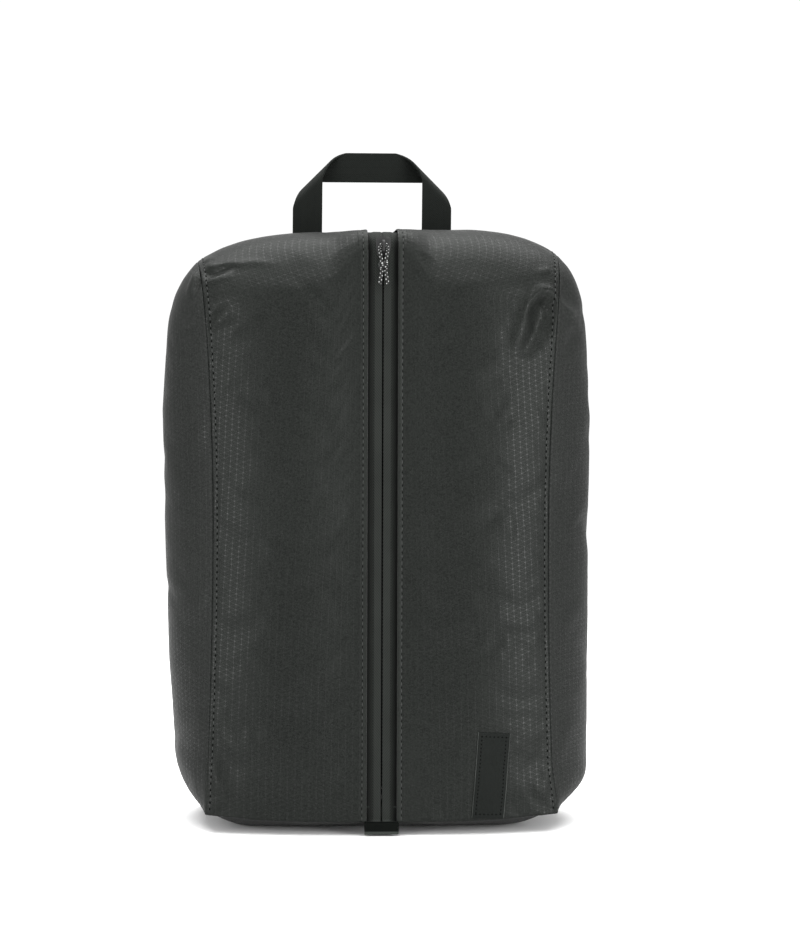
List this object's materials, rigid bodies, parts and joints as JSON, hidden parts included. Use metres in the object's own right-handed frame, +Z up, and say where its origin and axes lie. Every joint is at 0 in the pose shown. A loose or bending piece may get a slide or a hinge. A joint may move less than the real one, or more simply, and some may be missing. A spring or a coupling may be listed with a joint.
{
  "type": "shoe bag",
  "caption": "Upright soft shoe bag with a zip up the front and over the top, swollen side gussets, a webbing carry handle at the top back and a folded tab under the zip.",
  "frame": {"origin": "on the floor, on the flat of the base, under the middle of the bag's width and depth", "axes": "+X to the bag's right as seen from the front, +Y to the back, +Z up"},
  "size_m": [0.269, 0.1362, 0.4215],
  "materials": {
    "shell_fabric": "matt coated ripstop weave with a raised diamond grid",
    "zip_tape": "herringbone woven tape",
    "zip_coil": "satin monofilament",
    "slider_metal": "satin black paint",
    "pull_cord": "braided cord with pale flecks",
    "webbing": "close ribbed webbing",
    "label": "plain woven label, sewn round its edge",
    "binding": "grosgrain binding tape"
  },
  "bodies": {
    "bag": {"left_front_panel": "shell_fabric", "right_front_panel": "shell_fabric", "left_side_gusset": "shell_fabric", "right_side_gusset": "shell_fabric", "back_panel": "shell_fabric", "base_panel": "shell_fabric", "left_zip_tape": "zip_tape", "right_zip_tape": "zip_tape", "left_zip_coil": "zip_coil", "right_zip_coil": "zip_coil", "zip_top_stops": "slider_metal", "zip_bottom_stop": "slider_metal", "handle_ends": "webbing", "bottom_tab": "webbing", "front_label": "label", "left_seam_binding": "binding", "right_seam_binding": "binding", "top_seam_binding": "binding", "front_base_binding": "binding", "back_base_binding": "binding"},
    "slider": {"zip_slider": "slider_metal", "slider_bail": "slider_metal"},
    "pull": {"pull_cord": "pull_cord", "pull_knot": "pull_cord"},
    "handle": {"handle_loop": "webbing"}
  },
  "joints": [
    {"name": "zip_run", "type": "slide", "parent": "bag", "child": "slider", "axis": [0, -0.0828, -0.9966], "range_m": [0, 0.336]},
    {"name": "pull_swing", "type": "hinge", "parent": "slider", "child": "pull", "pos_m": [0, -0.03651, 0.36821], "axis": [-1, 0, 0], "range_deg": [0, 150]},
    {"name": "handle_fold", "type": "hinge", "parent": "bag", "child": "handle", "pos_m": [0, 0.05479, 0.36775], "axis": [-1, 0, 0], "range_deg": [-60, 120]}
  ]
}
